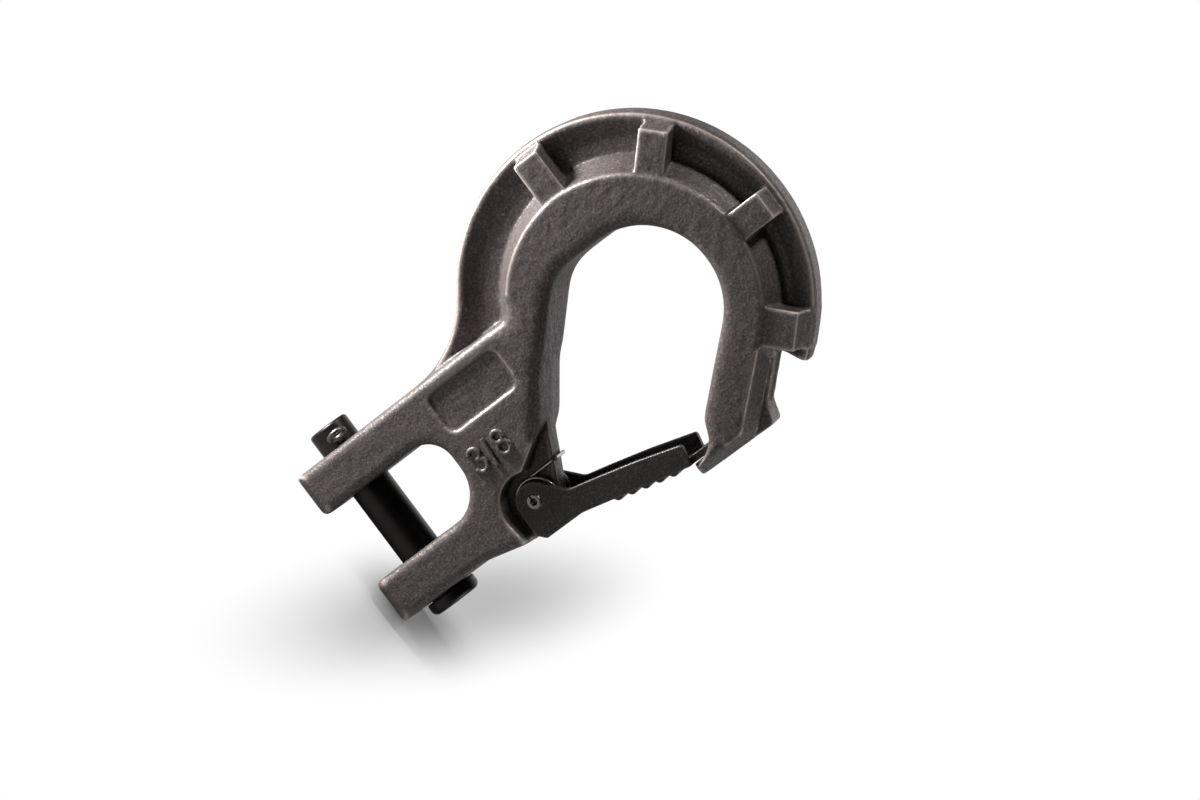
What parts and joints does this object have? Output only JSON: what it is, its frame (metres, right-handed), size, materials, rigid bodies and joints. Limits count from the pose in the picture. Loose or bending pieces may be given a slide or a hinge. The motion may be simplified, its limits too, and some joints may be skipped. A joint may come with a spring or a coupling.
{
  "type": "clevis winch hook",
  "caption": "Forged clevis slip hook for a winch line, with headed clevis pin, split cotter and sprung safety latch.",
  "frame": {"origin": "centre of the clevis pin, midway between the ears", "axes": "+Z along the line of pull from the clevis to the bow, +X along the clevis pin towards its head and the latch side, Y through the thickness, with the face that carries the size mark at -Y"},
  "size_m": [0.1051, 0.0254, 0.1702],
  "materials": {
    "forged_steel": "forged alloy steel, shot blasted, dark grey conversion coat, satin with a fine grain",
    "pin_steel": "turned alloy steel, dark grey conversion coat, smoother than the forging",
    "plated_wire": "half-round steel wire, bright zinc plate",
    "latch_steel": "pressed or cast steel latch, dark grey conversion coat, satin",
    "spring_pin_steel": "rolled spring steel, oiled grey",
    "spring_wire": "drawn spring wire, bright"
  },
  "bodies": {
    "hook": {"hook_body": "forged_steel", "latch_spring": "spring_wire"},
    "latch_swing_arm": {"latch": "latch_steel", "latch_pivot_pin": "spring_pin_steel"},
    "line_pin": {"clevis_pin": "pin_steel", "cotter_pin": "plated_wire"}
  },
  "joints": [
    {"name": "latch_swing", "type": "hinge", "parent": "hook", "child": "latch_swing_arm", "pos_m": [0.0206, 0, 0.0418], "axis": [0, -1, 0], "range_deg": [0, 57], "stiffness_Nm_per_rad": 0.24, "springref_deg": -34.38, "deforming": ["latch_spring"]},
    {"name": "clevis_pin_turn", "type": "hinge", "parent": "hook", "child": "line_pin", "pos_m": [0, 0, 0], "axis": [1, 0, 0], "continuous": true}
  ]
}
